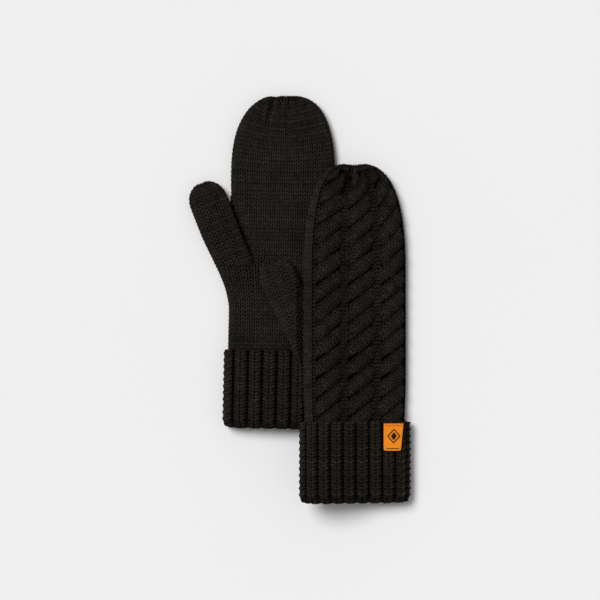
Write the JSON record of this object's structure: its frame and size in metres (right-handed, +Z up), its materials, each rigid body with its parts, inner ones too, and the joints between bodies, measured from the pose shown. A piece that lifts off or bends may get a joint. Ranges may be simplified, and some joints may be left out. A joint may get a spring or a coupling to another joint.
{
  "type": "pair of knitted mittens",
  "caption": "Pair of cable-knit mittens lying flat and overlapped, with turned-up chunky ribbed cuffs, slanted thumbs and a small woven label on one cuff.",
  "frame": {"origin": "middle of the pair's footprint, on the surface that it lies on", "axes": "+Y from the cuffs to the fingertips, +X from the left mitten to the right one, +Z up"},
  "size_m": [0.1748, 0.3272, 0.0363],
  "materials": {
    "knit_charcoal": "matt wool stockinette and cable knit, near-black charcoal",
    "rib_charcoal": "matt chunky half-cardigan rib, near-black charcoal",
    "label_orange": "woven damask label, satin orange",
    "label_thread": "polyester sewing thread"
  },
  "bodies": {
    "left_hand": {"left_palm_panel": "knit_charcoal", "left_back_panel": "knit_charcoal", "left_side_seam": "knit_charcoal", "left_wrist_edge": "knit_charcoal", "left_index_edge": "knit_charcoal", "left_inner_cuff": "rib_charcoal"},
    "left_fingers": {"left_finger_palm": "knit_charcoal", "left_finger_back": "knit_charcoal", "left_finger_rim": "knit_charcoal", "left_tip_gather": "knit_charcoal"},
    "left_thumb": {"left_thumb_palm": "knit_charcoal", "left_thumb_back": "knit_charcoal", "left_thumb_rim": "knit_charcoal", "left_thumb_gather": "knit_charcoal"},
    "left_cuff": {"left_turned_up_cuff": "rib_charcoal", "left_cuff_fold": "rib_charcoal"},
    "right_hand": {"right_palm_panel": "knit_charcoal", "right_back_panel": "knit_charcoal", "right_side_seam": "knit_charcoal", "right_wrist_edge": "knit_charcoal", "right_index_edge": "knit_charcoal", "right_inner_cuff": "rib_charcoal"},
    "right_fingers": {"right_finger_palm": "knit_charcoal", "right_finger_back": "knit_charcoal", "right_finger_rim": "knit_charcoal", "right_tip_gather": "knit_charcoal"},
    "right_thumb": {"right_thumb_palm": "knit_charcoal", "right_thumb_back": "knit_charcoal", "right_thumb_rim": "knit_charcoal", "right_thumb_gather": "knit_charcoal"},
    "right_cuff": {"right_turned_up_cuff": "rib_charcoal", "right_cuff_fold": "rib_charcoal", "right_label_stitching": "label_thread"},
    "right_label": {"right_label": "label_orange"}
  },
  "joints": [
    {"name": "left_finger_fold", "type": "hinge", "parent": "left_hand", "child": "left_fingers", "pos_m": [-0.01402, 0.11315, 0.0138], "axis": [0.9998, -0.0206, 0], "range_deg": [0, 80]},
    {"name": "left_thumb_swing", "type": "hinge", "parent": "left_hand", "child": "left_thumb", "pos_m": [-0.04858, 0.01845, 0], "axis": [0, 0, 1], "range_deg": [0, 25]},
    {"name": "left_cuff_turn_down", "type": "slide", "parent": "left_hand", "child": "left_cuff", "axis": [-0.0206, -0.9998, 0], "range_m": [0, 0.058]},
    {"name": "right_mitten_lift", "type": "slide", "parent": "left_hand", "child": "right_hand", "axis": [0, 0, 1], "range_m": [0, 0.12]},
    {"name": "right_finger_fold", "type": "hinge", "parent": "right_hand", "child": "right_fingers", "pos_m": [0.043, 0.0587, 0.02385], "axis": [0.9812, 0, -0.1932], "range_deg": [0, 80]},
    {"name": "right_thumb_swing", "type": "hinge", "parent": "right_hand", "child": "right_thumb", "pos_m": [0.0082, -0.0364, 0], "axis": [0, 0, 1], "range_deg": [0, 25]},
    {"name": "right_cuff_turn_down", "type": "slide", "parent": "right_hand", "child": "right_cuff", "axis": [0, -1, 0], "range_m": [0, 0.058]},
    {"name": "right_label_lift", "type": "hinge", "parent": "right_cuff", "child": "right_label", "pos_m": [0.0732, -0.0992, 0.01967], "axis": [-1, 0, 0], "range_deg": [0, 120]}
  ]
}
